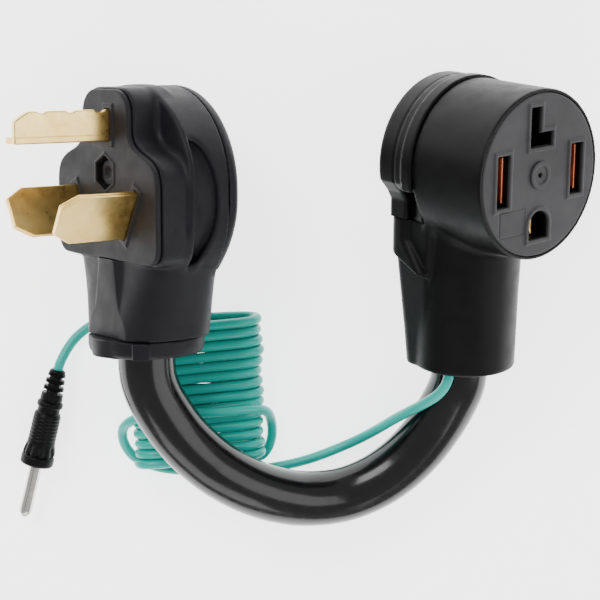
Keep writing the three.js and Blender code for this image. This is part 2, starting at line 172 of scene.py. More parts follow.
def make_floor():
    data = bpy.data.meshes.new("floor")
    half = FLOOR_SIZE / 2
    corners = [(-half, -half, 0), (half, -half, 0), (half, half, 0), (-half, half, 0)]
    data.from_pydata(corners, [], [(0, 1, 2, 3)])
    floor = bpy.data.objects.new("floor", data)
    bpy.context.scene.collection.objects.link(floor)
    floor.location.z = -FLOOR_DROP
    paint = bpy.data.materials.new("floor_paint")
    paint.use_nodes = True
    shader = paint.node_tree.nodes["Principled BSDF"]
    shader.inputs["Base Color"].default_value = (0.98, 0.98, 0.98, 1)
    shader.inputs["Roughness"].default_value = 0.9
    shader.inputs["Emission Color"].default_value = (1, 1, 1, 1)
    shader.inputs["Emission Strength"].default_value = FLOOR_GLOW
    data.materials.append(paint)


# ---- materials ----
class Look:
    """A Principled material whose colour, roughness and bump are built from noise."""

    def __init__(self, name, metal=0.0, coat=0.0, specular=0.5):
        self.material = bpy.data.materials.new(name)
        self.material.use_nodes = True
        self.tree = self.material.node_tree
        self.shader = self.tree.nodes["Principled BSDF"]
        self.shader.inputs["Metallic"].default_value = metal
        self.shader.inputs["Coat Weight"].default_value = coat
        self.shader.inputs["Coat Roughness"].default_value = 0.08
        self.shader.inputs["Specular IOR Level"].default_value = specular
        self.height = None
        self.coords = self.tree.nodes.new("ShaderNodeTexCoord")

    def noise(self, scale, detail, rough=0.6):
        """Noise over the object, with scale in cycles per metre."""
        node = self.tree.nodes.new("ShaderNodeTexNoise")
        node.inputs["Scale"].default_value = scale
        node.inputs["Detail"].default_value = detail
        node.inputs["Roughness"].default_value = rough
        self.tree.links.new(self.coords.outputs["Object"], node.inputs["Vector"])
        return node.outputs["Fac"]

    def color(self, source, stops):
        """The base colour, from stops of a place on the ramp and its colour."""
        node = self.tree.nodes.new("ShaderNodeValToRGB")
        elements = node.color_ramp.elements
        while len(elements) < len(stops):
            elements.new(0.5)
        for element, (at, color) in zip(elements, stops):
            element.position = at
            element.color = (*color, 1)
        self.tree.links.new(source, node.inputs["Fac"])
        self.tree.links.new(node.outputs["Color"], self.shader.inputs["Base Color"])

    def roughness(self, source, low, high):
        span = self.tree.nodes.new("ShaderNodeMapRange")
        span.inputs["From Min"].default_value = 0.3
        span.inputs["From Max"].default_value = 0.7
        span.inputs["To Min"].default_value = low
        span.inputs["To Max"].default_value = high
        self.tree.links.new(source, span.inputs["Value"])
        self.tree.links.new(span.outputs["Result"], self.shader.inputs["Roughness"])

    def bump(self, source, strength, depth):
        node = self.tree.nodes.new("ShaderNodeBump")
        node.inputs["Strength"].default_value = strength
        node.inputs["Distance"].default_value = depth
        self.tree.links.new(source, node.inputs["Height"])
        if self.height is not None:
            self.tree.links.new(self.height, node.inputs["Normal"])
        self.height = node.outputs["Normal"]
        self.tree.links.new(self.height, self.shader.inputs["Normal"])


def moulded(name, dark, light, rough, grain=0.35, specular=0.16):
    """Moulded plastic: slight clouding and uneven gloss, with a fine grain over slow waves."""
    look = Look(name, specular=specular)
    look.color(look.noise(60, 5), [(0.35, dark), (0.7, light)])
    look.roughness(look.noise(150, 6), rough - 0.07, rough + 0.09)
    look.bump(look.noise(2600, 3, 0.7), grain, 0.00012)
    look.bump(look.noise(240, 2), 0.12, 0.0003)
    return look.material


def glossy(name, dark, light, rough, coat):
    """Glossy PVC: slight clouding and uneven gloss, with slow waves and a very fine grain."""
    look = Look(name, coat=coat, specular=0.3)
    look.color(look.noise(45, 3), [(0.3, dark), (0.75, light)])
    look.roughness(look.noise(420, 6, 0.7), rough - 0.05, rough + 0.1)
    look.bump(look.noise(90, 2), 0.1, 0.0004)
    look.bump(look.noise(3000, 2), 0.06, 0.00005)
    return look.material


def metal(name, dark, mid, light, rough):
    """Sheet metal: tarnish clouds and uneven gloss, with a fine grain over slow dents."""
    look = Look(name, metal=1.0)
    look.color(look.noise(75, 7, 0.65), [(0.3, dark), (0.5, mid), (0.72, light)])
    look.roughness(look.noise(330, 6, 0.7), rough - 0.06, rough + 0.08)
    look.bump(look.noise(1500, 3), 0.12, 0.00008)
    look.bump(look.noise(160, 4), 0.16, 0.0002)
    return look.material


def make_looks():
    return {
        "plug": moulded("moulded_black", (0.0055, 0.0053, 0.0072), (0.0085, 0.0082, 0.0108), 0.5),
        "pad": moulded("carrier_black", (0.0075, 0.0073, 0.009), (0.0115, 0.011, 0.0135), 0.54),
        "satin": moulded("satin_black", (0.0022, 0.0022, 0.0023), (0.0036, 0.0036, 0.0038), 0.4, 0.14,
                         specular=0.11),
        "grey": moulded("face_grey", (0.026, 0.0257, 0.0275), (0.038, 0.0373, 0.0395), 0.5, 0.3),
        "brass": metal("brass", (0.68, 0.43, 0.12), (0.86, 0.6, 0.2), (0.95, 0.72, 0.28), 0.31),
        "copper": metal("copper", (0.24, 0.06, 0.03), (0.45, 0.14, 0.07), (0.55, 0.22, 0.12), 0.35),
        "nickel": metal("nickel", (0.42, 0.4, 0.37), (0.6, 0.58, 0.54), (0.72, 0.7, 0.66), 0.22),
        "cord": glossy("cord_black", (0.003, 0.003, 0.0032), (0.0042, 0.0042, 0.0045), 0.17, 0.1),
        "green": glossy("lead_green", (0.005, 0.33, 0.275), (0.008, 0.42, 0.35), 0.3, 0.08),
        "red": glossy("pvc_red", (0.32, 0.02, 0.015), (0.42, 0.04, 0.03), 0.3, 0.1),
        "white": glossy("pvc_white", (0.7, 0.68, 0.62), (0.8, 0.78, 0.72), 0.3, 0.1),
    }


# ---- solid fields, in a head's own millimetres ----
class Field:
    """Signed distances on a grid, negative inside, that becomes a smooth mesh."""

    def __init__(self, low, high, voxel):
        self.low = np.array(low, float)
        self.voxel = voxel
        counts = [int((b - a) / voxel) + 1 for a, b in zip(low, high)]
        axes = [a + voxel * np.arange(n) for a, n in zip(low, counts)]
        self.x = axes[0].reshape(-1, 1, 1)
        self.y = axes[1].reshape(1, -1, 1)
        self.z = axes[2].reshape(1, 1, -1)
        self.shape = tuple(counts)

    def mesh(self, name, values, matrix, look, sharp=0.62):
        """A smooth piece from distances, which may span fewer axes than the grid."""
        grid = openvdb.FloatGrid(2.0)
        grid.copyFromArray(np.ascontiguousarray(np.broadcast_to(values, self.shape), dtype=np.float32))
        points, quads = grid.convertToQuads(isovalue=0.0)[:2]
        places = points * self.voxel + self.low
        data = bpy.data.meshes.new(name)
        data.from_pydata(places.tolist(), [], quads.tolist())
        return finish_mesh(name, data, matrix, look, sharp)


def finish_mesh(name, data, matrix, look, sharp):
    """Turns a mesh's faces outward, places it in the frame and gives it its look."""
    work = bmesh.new()
    work.from_mesh(data)
    work.transform(matrix)
    bmesh.ops.remove_doubles(work, verts=work.verts, dist=1e-7)
    bmesh.ops.recalc_face_normals(work, faces=work.faces)
    if work.calc_volume(signed=True) < 0:
        bmesh.ops.reverse_faces(work, faces=work.faces)
    for face in work.faces:
        face.smooth = True
    for edge in work.edges:
        edge.smooth = len(edge.link_faces) == 2 and edge.calc_face_angle(0) < sharp
    work.to_mesh(data)
    work.free()
    data.materials.append(look)
    piece = bpy.data.objects.new(name, data)
    bpy.context.scene.collection.objects.link(piece)
    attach(piece, BODY)
    return piece


def blend(a, b, k):
    """Smooth union of two fields, with a fillet of about k."""
    h = np.clip(0.5 + 0.5 * (b - a) / k, 0, 1)
    return b + (a - b) * h - k * h * (1 - h)


def meet(a, b, k):
    """Smooth intersection of two fields, with a softened edge of about k."""
    return -blend(-a, -b, k)


def carve(a, b, k):
    """Field a with b cut from it, and a softened edge of about k."""
    return meet(a, -b, k)


def outline(field, points):
    """Signed distance in the XY plane to a closed outline."""
    x, y = field.x[:, :, 0], field.y[:, :, 0]
    best = np.full(np.broadcast(x, y).shape, 1e9)
    inside = np.zeros(best.shape, bool)
    for (x0, y0), (x1, y1) in zip(points, points[1:] + points[:1]):
        ex, ey = x1 - x0, y1 - y0
        t = np.clip(((x - x0) * ex + (y - y0) * ey) / (ex * ex + ey * ey + 1e-12), 0, 1)
        best = np.minimum(best, (x - x0 - t * ex) ** 2 + (y - y0 - t * ey) ** 2)
        if y0 != y1:
            inside ^= ((y0 > y) != (y1 > y)) & (x < x0 + (y - y0) * ex / ey)
    distance = np.sqrt(best)
    return np.where(inside, -distance, distance)[:, :, None]


def rounded_box(u, w, soft):
    """Distance to a box's sides from the distances past its two faces, with soft edges."""
    u, w = u + soft, w + soft
    return np.sqrt(np.maximum(u, 0) ** 2 + np.maximum(w, 0) ** 2) + np.minimum(np.maximum(u, w), 0) - soft


def slab(field, flat, low, high, soft):
    """A flat outline raised from low to high in z, with edges rounded by soft."""
    return rounded_box(flat, np.abs(field.z - (low + high) / 2) - (high - low) / 2, soft)


def brick(field, centre, half, soft):
    """A block with rounded edges."""
    u = np.abs(field.x - centre[0]) - half[0] + soft
    v = np.abs(field.y - centre[1]) - half[1] + soft
    w = np.abs(field.z - centre[2]) - half[2] + soft
    outer = np.sqrt(np.maximum(u, 0) ** 2 + np.maximum(v, 0) ** 2 + np.maximum(w, 0) ** 2)
    return np.minimum(np.maximum(np.maximum(u, v), w), 0) + outer - soft


def rod_y(field, radius, x=0.0, z=0.0):
    return np.sqrt((field.x - x) ** 2 + (field.z - z) ** 2) - radius


def neck(field, sections):
    """A body whose rounded cross-section changes smoothly along y."""
    rows = sorted(sections)
    ys = [row[0] for row in rows]
    half, back, front, power = (np.interp(field.y, ys, [row[k] for row in rows]) for k in range(1, 5))
    depth, middle = (front - back) / 2, (front + back) / 2
    u, w = np.abs(field.x) / half, np.abs(field.z - middle) / depth
    ring = (u ** power + w ** power) ** (1 / power) - 1
    return ring * np.minimum(half, depth) * 0.93


def between(field, value, low, high):
    return np.maximum(value, np.maximum(low - field.y, field.y - high))


# ---- cords, in the table's millimetres ----
CORD_ROUTE = [
    (-46.5, 3, 31), (-46.5, -8, 31), (-46.5, -17, 31), (-46, -22, 30.8), (-44.2, -27.5, 30.2),
    (-41, -33.5, 29.3), (-36.9, -39.8, 28.1), (-31.4, -46.1, 26.6), (-24.3, -52.3, 24.8), (-15.5, -58, 21.6),
    (-6.6, -62, 17.4), (2.5, -64.2, 13.1), (13.6, -63.8, 9.9), (23.6, -60.1, 8.95), (31.6, -54.6, 9),
    (38, -48, 9.8), (43.2, -40.6, 11.2), (47, -33.4, 13.1), (49.6, -26.6, 15), (50.2, -21.6, 15.65),
    (50.2, -10.5, 17.17), (50.2, 0, 18.61),
]
STRAND_ROUTE = [
    (46.11, -12, 27.18), (46.11, -21, 25.95), (45, -25.2, 25.4), (42.4, -28.6, 24), (38.3, -32, 20.8),
    (34.1, -35.3, 16.2), (29.7, -39, 11.2), (25.2, -42.9, 6.7), (20.2, -46.5, 3.4), (14.4, -49.6, 1.9),
    (6.7, -52.8, 1.75), (0.2, -54.9, 1.75), (-6.5, -56.4, 1.75), (-13.4, -57.4, 1.75),
]
# One loose turn that stands off the winding's foot, then crosses over its top.
LOOSE_TURN = [
    (-26, -58, 1.75), (-38, -57.8, 1.75), (-47, -56.4, 1.85), (-53.4, -53.2, 2.6), (-56.6, -48, 4.4),
    (-56.4, -42.4, 8), (-52.2, -38.4, 13), (-45, -36.8, 15.5), (-34, -36, 15.8), (-23, -35.4, 15.5),
    (-15.2, -35.2, 13), (-10.8, -36.6, 8.6), (-9.2, -40.4, 4.2), (-8.9, -46, 1.9), (-10.6, -51, 1.75),
    (-15.2, -53.6, 1.75),
]
LEAD_ROUTE = [
    (-51.8, -5.6, 1.75), (-58.4, -6.6, 1.8), (-63.4, -8.4, 1.8), (-68.2, -11, 1.9),
    (-72.2, -14.4, 2.7), (-75.1, -18.6, 4.2), (-76.9, -22.5, 5.4), (-77.5, -24.8, 5.6), (-78.2, -27.6, 5.6),
]
COIL_MIDDLE = (-32.2, 6.6)
COIL_HALF = (19.6, 4.8)
COIL_FROM, COIL_TO = -53.8, -7.4
COIL_TURNS = 14
COIL_STEPS = 24
CONNECTOR_AT = (-77.5, -24.8, 5.6)
CONNECTOR_LEAN = -13.9
# Spacing of the points along each curve, in metres
CORD_STEP = 0.0012
LEAD_STEP = 0.0009
SPLINE_STEPS = 24
SMOOTHING_ROUNDS = 3


def smooth_line(points, step):
    """Evenly spaced points on a smooth curve through a route, in metres."""
    route = [world(p) for p in points]
    dense = []
    padded = [2 * route[0] - route[1]] + route + [2 * route[-1] - route[-2]]
    for a, b, c, d in zip(padded, padded[1:], padded[2:], padded[3:]):
        for i in range(SPLINE_STEPS):
            t = i / SPLINE_STEPS
            dense.append(0.5 * (2 * b + (c - a) * t + (2 * a - 5 * b + 4 * c - d) * t ** 2
                                + (3 * b - a - 3 * c + d) * t ** 3))
    dense.append(route[-1])
    line, left = [dense[0]], step
    for p, q in zip(dense, dense[1:]):
        gap = (q - p).length
        while gap > 0 and left <= gap:
            p = p.lerp(q, left / gap)
            line.append(p.copy())
            gap = (q - p).length
            left = step
        left -= gap
    for _ in range(SMOOTHING_ROUNDS):
        line = [line[0]] + [(a + 2 * b + c) / 4 for a, b, c in zip(line, line[1:], line[2:])] + [line[-1]]
    return line


def line_length(line):
    return sum((b - a).length for a, b in zip(line, line[1:]))


def round_curve(name, line, radius, look, sides):
    data = bpy.data.curves.new(name, "CURVE")
    data.dimensions = "3D"
    data.bevel_depth = radius
    data.bevel_resolution = sides
    data.use_fill_caps = True
    spline = data.splines.new("POLY")
    spline.points.add(len(line) - 1)
    for point, place in zip(spline.points, line):
        point.co = (*place, 1)
    data.materials.append(look)
    piece = bpy.data.objects.new(name, data)
    bpy.context.scene.collection.objects.link(piece)
    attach(piece, BODY)
    return piece


def flat_loop(share):
    """A point on a flattened loop with round ends, from the middle of its underside."""
    width, height = COIL_HALF
    flat = 2 * (width - height)
    around = 2 * flat + 2 * math.pi * height
    s = (share % 1.0) * around
    s = s if s < around - flat / 2 else s - around
    if s < flat / 2:
        return -s, -height
    s -= flat / 2
    if s < math.pi * height:
        return -flat / 2 - height * math.sin(s / height), -height * math.cos(s / height)
    s -= math.pi * height
    if s < flat:
        return -flat / 2 + s, height
    s -= flat
    return flat / 2 + height * math.sin(s / height), height * math.cos(s / height)


def coil_points():
    """The winding's turns, flattened loops that step along y, a little uneven by hand."""
    points = []
    total = COIL_TURNS * COIL_STEPS
    for i in range(total + 1):
        turn = i / COIL_STEPS
        share = i / total
        slack = 0.22 * math.sin(turn * 2.4) + 0.18 * math.sin(turn * 5.3 + 1)
        tight = 1 - 0.035 * share + 0.008 * math.sin(turn * 1.9)
        across, up = flat_loop(turn)
        x = COIL_MIDDLE[0] + across * tight + 0.35 * math.sin(turn * 1.3)
        y = COIL_FROM + (COIL_TO - COIL_FROM) * share + slack * (1 - share) * 0.6
        y += 1.2 * across / COIL_HALF[0]
        points.append((x, y, COIL_MIDDLE[1] + up))
    return points


def make_cords(looks):
    jacket_line = smooth_line(CORD_ROUTE, CORD_STEP)
    jacket = round_curve("cord_jacket_skin", jacket_line, CORD_R * MM, looks["cord"], 16)
    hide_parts("cord_jacket")
    coil = coil_points()
    route = STRAND_ROUTE + LOOSE_TURN + coil[1:-1] + LEAD_ROUTE
    lead_line = smooth_line(route, LEAD_STEP)
    lead = round_curve("green_lead_skin", lead_line, WIRE_R * MM, looks["green"], 5)
    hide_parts("green_strand", "green_coil", "green_lead")
    return lead, line_length(lead_line)


# The face's slots, in the receptacle's own millimetres
LINE_SLOT = {"x": 15.7, "width": 5.2, "height": 15.4}
ELL_SLOT = {"y": 47.7, "foot": 9.6, "leg": 12, "thick": 4.4}
EARTH_SLOT = {"y": 18.6, "r": 4.3}
# The leaves in a line slot: place across it, and height of the top
LEAVES = ((-1.7, 24.6), (0.1, 26.2), (1.75, 28.3))
# A distance that is outside every solid
FAR = 9.0


# ---- outlines, in a head's own millimetres ----
def bezier(p0, p1, p2, p3, count):
    points = []
    for i in range(1, count + 1):
        t = i / count
        weights = ((1 - t) ** 3, 3 * t * (1 - t) ** 2, 3 * t * t * (1 - t), t ** 3)
        points.append(tuple(sum(w * p[k] for w, p in zip(weights, (p0, p1, p2, p3))) for k in (0, 1)))
    return points


def arc(cx, cy, radius, start, end, count):
    """Points on an arc from one angle to another, in degrees."""
    angles = [math.radians(start + (end - start) * i / count) for i in range(count + 1)]
    return [(cx + radius * math.cos(a), cy + radius * math.sin(a)) for a in angles]


def mirrored(right):
    """A closed outline from its right half, which runs from bottom to top."""
    return right + [(-x, y) for x, y in reversed(right)]


def arch_outline(side_y, shoulder):
    """A round top on sides that draw in from side_y to a half width of shoulder at the foot."""
    right = [(shoulder, 0)]
    right += bezier((shoulder, 0), ((shoulder + 2 * DOME_R) / 3, side_y / 3), (DOME_R, 2 * side_y / 3),
                    (DOME_R, side_y), 8)
    return mirrored(right + arc(0, DOME_Y, DOME_R, 0, 88, 32))


def pad_outline(inset=0.0):
    """The plug's face: a wide lower part and a narrow tab above it."""
    half, tab = 27.3 - inset, 12.5 - inset
    low, high, corner, top_corner = 4 + inset, 54 - inset, 5, 7
    right = arc(half - corner, low + corner, corner, -90, 0, 6) + [(half, 26 - inset / 2)]
    right += bezier((half, 26 - inset / 2), (half, 38 - inset), (tab + 1, 33 - inset), (tab, 42 - inset), 16)
    return mirrored(right + arc(tab - top_corner, high - top_corner, top_corner, 0, 90, 8))


def ell_outline(cx, cy, foot, leg, thick, side, grow):
    """An L whose foot points to +x for side 1, or to -x for side -1."""
    heel, toe = cx - side * (foot / 2 + grow), cx + side * (foot / 2 + grow)
    shin = heel + side * (thick + 2 * grow)
    low, high = cy - leg / 2 - grow, cy + leg / 2 + grow
    step = low + thick + 2 * grow
    return [(heel, low), (toe, low), (toe, step), (shin, step), (shin, high), (heel, high)]


def ground_outline(grow):
    """A half round on a square foot."""
    half = EARTH_SLOT["r"] + grow
    foot = EARTH_SLOT["y"] - half
    return [(-half, foot), (half, foot)] + arc(0, EARTH_SLOT["y"], half, 0, 180, 18)


def box_outline(cx, cy, width, height, lean=0.0):
    c, s = math.cos(math.radians(-lean)), math.sin(math.radians(-lean))
    corners = [(i * width / 2, j * height / 2) for i, j in ((-1, -1), (1, -1), (1, 1), (-1, 1))]
    return [(cx + x * c - y * s, cy + x * s + y * c) for x, y in corners]


# ---- plug ----
HOT = {"x": 13.5, "y": 17.9, "lean": 28, "width": 15.6, "tip": 38.2}
NEUTRAL = {"x": -0.6, "y": 43.6, "foot": 7.6, "leg": 9.2, "tip": 45.2}
SHEET = 1.9
SEAM_Z = -10.0
RECESS_Y = 29.5
HOT_CLIP = (5.4, 3.2)
LATCH_OUT = (0.786, 0.618)
# The neutral blade's dents: height along the blade and depth
NEUTRAL_DENTS = ((17.0, 0.9), (26.8, 0.45), (36.2, 0.4))
# The neck's sections: place along y, half width, back, front and squareness
PLUG_SHANK = (
    (9, 25, -13.8, 11, 3.6), (2, 24.4, -14.4, 12.2, 3.4), (-4, 22.4, -15.2, 12.8, 3.2),
    (-10, 20.3, -16.2, 13.8, 3), (-15.5, 18.8, -16.9, 14.8, 2.8), (-20.5, 18, -17.2, 15.6, 2.6),
)


def neutral_outline(grow):
    return ell_outline(NEUTRAL["x"], NEUTRAL["y"], NEUTRAL["foot"], NEUTRAL["leg"], SHEET, -1, grow)


def hot_outline(side, grow):
    return box_outline(side * HOT["x"], HOT["y"], SHEET + 2 * grow, HOT["width"] + 2 * grow,
                       side * HOT["lean"])


def plug_neck(field):
    """A squarish shank with a round ridge along its front."""
    shank = neck(field, PLUG_SHANK)
    rise = np.interp(field.y, [-21.5, 3], [8.7, 6.2])
    ridge = np.sqrt(field.x ** 2 + (field.z - rise) ** 2) - 8.7
    return blend(shank, ridge, 0.9)


def plug_body(looks):
    field = Field((-31.5, -20.6, -18.4), (31.5, 56.5, 14.2), 0.42)
    arch = outline(field, arch_outline(side_y=20.0, shoulder=22.0))
    dome = slab(field, arch, -16, 3.3, 1.1)
    block = slab(field, outline(field, pad_outline(-0.6)), -2, 12.3, 1.0)
    body = blend(dome, block, 2.2)
    shank = between(field, plug_neck(field), PLUG_NECK_END + 0.1, 30)
    body = blend(body, np.maximum(shank, field.y - 12), 1.6)
    # A grip in each side of the dome: half an oval, cut straight along its front edge.
    bow = (np.sqrt(((field.y - 21.5) / 18) ** 2 + ((field.z - 1.4) / 7.6) ** 2) - 1) * 7
    grip = np.maximum(np.maximum(bow, field.z - 1.4), -(arch + 2.2))
    body = carve(body, grip, 1.1)
    rim = outline(field, pad_outline(-0.1))
    body = carve(body, slab(field, rim, 11.9, 14, 0.1), 0.2)
    body = np.maximum(body, np.minimum(SEAM_Z - field.z, field.y + 0.5))
    inner = slab(field, outline(field, pad_outline(3.7)), -20, 20, 0.5)
    body = carve(body, inner, 0.2)
    body = carve(body, np.maximum(rod_y(field, CORD_R + 0.3), field.y - 3), 0.5)
    piece = field.mesh("plug_body_skin", body, PLUG, looks["plug"])
    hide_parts("plug_body")


def plug_cover(looks):
    field = Field((-31.5, -2, -18), (31.5, 56.5, -9), 0.45)
    shell = slab(field, outline(field, arch_outline(side_y=22.0, shoulder=19.5)), -14.6, 4, 3.4)
    shell = np.maximum(shell, field.z - (SEAM_Z - 0.14))
    shank = plug_neck(field) - 0.15
    shell = np.maximum(shell, -np.maximum(shank, field.y - 4.2))
    # A shallow oval dish in the middle of the back.
    dish = np.sqrt((field.x / 13) ** 2 + ((field.y - 29) / 18) ** 2 + ((field.z + 14.6) / 0.9) ** 2)
    shell = carve(shell, (dish - 1) * 0.9, 0.5)
    shell = np.maximum(shell, 0.35 - field.y)
    piece = field.mesh("plug_rear_cover_skin", shell, PLUG, looks["plug"])
    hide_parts("plug_rear_cover")


def plug_pad(looks):
    field = Field((-28.2, 3, 5.5), (28.2, 55, 15), 0.24)
    pad = outline(field, pad_outline())
    body = np.minimum(slab(field, pad, 12.0, PAD_Z, 0.55),
                      slab(field, outline(field, pad_outline(4)), 6, 13, 0.2))
    blades = [neutral_outline] + [lambda grow, side=side: hot_outline(side, grow) for side in (-1, 1)]
    for shape in blades:
        raised = slab(field, outline(field, shape(1.7)), 12, PAD_Z + 0.42, 0.3)
        body = blend(body, raised, 0.35)
    for shape in blades:
        body = carve(body, slab(field, outline(field, shape(0.18)), 0, 20, 0.05), 0.25)
    # A raised frame round a six-sided recess.
    frame_edge, recess_edge = (arc(0, RECESS_Y, radius, 30, 390, 6)[:-1] for radius in (6.2, 5.2))
    body = blend(body, slab(field, outline(field, frame_edge), 12, PAD_Z + 0.3, 0.25), 0.3)
    body = carve(body, slab(field, outline(field, recess_edge), 10.4, 20, 0.1), 0.35)
    piece = field.mesh("blade_carrier_skin", body, PLUG, looks["pad"], 0.7)
    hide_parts("blade_carrier")
    # A round boss at the foot of the six-sided recess.
    field = Field((-5, 24, 3.2), (5, 35, 14), 0.16)
    disc = np.sqrt(field.x ** 2 + (field.y - RECESS_Y) ** 2) - 3.9
    boss = slab(field, disc, 10.6, 12.6, 0.5)
    boss = np.minimum(boss, slab(field, disc + 1.2, 3.9, 11, 0.3))
    ball = np.sqrt(field.x ** 2 + (field.y - RECESS_Y) ** 2 + (field.z - 14.2) ** 2) - 2.5
    piece = field.mesh("plug_centre_boss", carve(boss, ball, 0.3), PLUG, looks["pad"])
    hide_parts("plug_centre_rivet")


def plug_collar(looks):
    field = Field((-20.5, PLUG_EXIT - 0.8, -19), (20.5, PLUG_NECK_END + 0.4, 20.5), 0.34)
    middle, half = (PLUG_EXIT + PLUG_NECK_END) / 2 - 0.1, (PLUG_NECK_END - PLUG_EXIT) / 2 - 0.1
    length = np.abs(field.y - middle) - half
    width = np.interp(field.y, [PLUG_EXIT, PLUG_EXIT + 1, PLUG_EXIT + 2.6], [15.8, 16.6, 16.9])
    power = 2.3
    ring = ((np.abs(field.x) / width) ** power + (np.abs(field.z) / width) ** power) ** (1 / power) - 1
    body = np.maximum(ring * width * 0.95, length)
    body = blend(body, np.maximum(rod_y(field, 8.5, 0, 9.3), length), 0.8)
    # A small latch pad stands on the collar between its front and its side.
    out_x, out_z = LATCH_OUT
    out, along = field.x * out_x + field.z * out_z, field.x * out_z - field.z * out_x
    latch = np.maximum(np.maximum(np.abs(along) - 2.6, length + 0.1), np.abs(out - 16.2) - 2.9)
    body = blend(body, latch, 0.4)
    body = carve(body, rod_y(field, CORD_R + 0.25), 0.9)
    piece = field.mesh("plug_collar_skin", body, PLUG, looks["plug"])
    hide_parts("plug_collar")


def hot_blade(name, side, looks):
    """A folded sheet blade with clipped tip corners and the fold's line along its edges."""
    lean = Matrix.Rotation(math.radians(-side * HOT["lean"]), 4, "Z")
    matrix = PLUG @ Matrix.Translation((side * HOT["x"], HOT["y"], 0)) @ lean
    half, tip = HOT["width"] / 2, HOT["tip"]
    field = Field((-1.4, -half - 0.5, 0.6), (1.4, half + 0.5, tip + 0.5), 0.15)
    body = brick(field, (0, 0, (1 + tip) / 2), (SHEET / 2, half, (tip - 1) / 2), 0.3)
    run, drop = HOT_CLIP
    slope = math.hypot(run, drop)
    clip = ((np.abs(field.y) - half + drop) * run + (field.z - tip) * drop) / slope
    body = meet(body, clip, 0.35)
    edge = np.maximum(np.abs(field.y) - half, clip)
    fold = np.maximum(np.abs(field.x) - 0.1, -(edge + 0.45))
    fold = np.maximum(fold, field.z - tip + 0.7)
    piece = field.mesh(f"{name}_skin", carve(body, fold, 0.2), matrix, looks["brass"], 0.8)
    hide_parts(name)


def neutral_blade(looks):
    """An L-shaped blade: the tip's corners are clipped on its leg and on its foot."""
    cx, cy, foot, leg, tip = (NEUTRAL[k] for k in ("x", "y", "foot", "leg", "tip"))
    left, right, low, high = cx - foot / 2, cx + foot / 2, cy - leg / 2, cy + leg / 2
    field = Field((left - 0.5, low - 0.5, 0.6), (right + 0.5, high + 0.5, tip + 0.5), 0.16)
    half = SHEET / 2
    upright = brick(field, (right - half, cy, (1 + tip) / 2), (half, leg / 2, (tip - 1) / 2), 0.3)
    corner = ((field.y - high + 2.6) * 4.4 + (field.z - tip) * 2.6) / 5.1
    upright = meet(upright, corner, 0.5)
    flat = brick(field, (cx, low + half, (1 + tip) / 2), (foot / 2, half, (tip - 1) / 2), 0.3)
    corner = (left + 1.9 - field.x + field.z - tip) / 1.414
    flat = meet(flat, corner, 0.4)
    body = blend(upright, flat, 0.25)
    for z, depth in NEUTRAL_DENTS:
        dent = np.sqrt(((field.y - high - 0.5) / 1.0) ** 2 + ((field.z - z) / 1.5) ** 2) - 1 - depth * 0.3
        body = carve(body, dent, 0.3)
    piece = field.mesh("neutral_blade_skin", body, PLUG, looks["brass"], 0.8)
    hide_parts("neutral_blade")


# ---- receptacle ----
def line_outline(side, grow):
    return box_outline(side * LINE_SLOT["x"], DRUM_Y, LINE_SLOT["width"] + 2 * grow,
                       LINE_SLOT["height"] + 2 * grow)


def slot_outlines(grow):
    ell = ell_outline(0, ELL_SLOT["y"], ELL_SLOT["foot"], ELL_SLOT["leg"], ELL_SLOT["thick"], 1, grow)
    return [line_outline(-1, grow), line_outline(1, grow), ell, ground_outline(grow)]


def drum_radius(field):
    return np.sqrt(field.x ** 2 + (field.y - DRUM_Y) ** 2)


def receptacle_neck(field):
    """A round front on a flat, square-cornered back plate."""
    ys = [RECEPTACLE_EXIT, -20, -6, 4, 14]
    front_r = np.interp(field.y, ys, [15.7, 15.9, 16.2, 16.6, 17.0])
    front = np.sqrt(field.x ** 2 + (field.z - 1.8) ** 2) - front_r
    front = np.maximum(front, -11.6 - field.z)
    half = np.interp(field.y, ys, [14.4, 15.2, 16.7, 18.0, 18.8])
    back = np.interp(field.y, ys, [-11.5, -11.7, -11.8, -11.7, -11.4])
    corner = np.interp(field.y, ys, [4.4, 3.8, 3.0, 2.6, 2.4])
    lip = np.interp(field.y, ys, [2.2, 2.6, 3.2, 4.0, 5.0])
    middle, depth = (back + lip) / 2, (lip - back) / 2
    plate = rounded_box(np.abs(field.x) - half, np.abs(field.z - middle) - depth, corner)
    return blend(front, plate, 0.5)


def receptacle_wing(field):
    """The back plate's wider upper part, hooked forward where it ends on a slant."""
    front = np.interp(field.y, [1.0, 10.5], [2.6, -4.0])
    middle, depth = (front + COVER_BACK) / 2, (front - COVER_BACK) / 2
    wing = rounded_box(np.abs(field.x) - COVER_HALF + 0.4, (np.abs(field.z - middle) - depth) * 0.85, 2.6)
    slant = (6.0 - 0.46 * (field.z - COVER_BACK) - field.y) * 0.9
    return meet(wing, slant, 0.7)


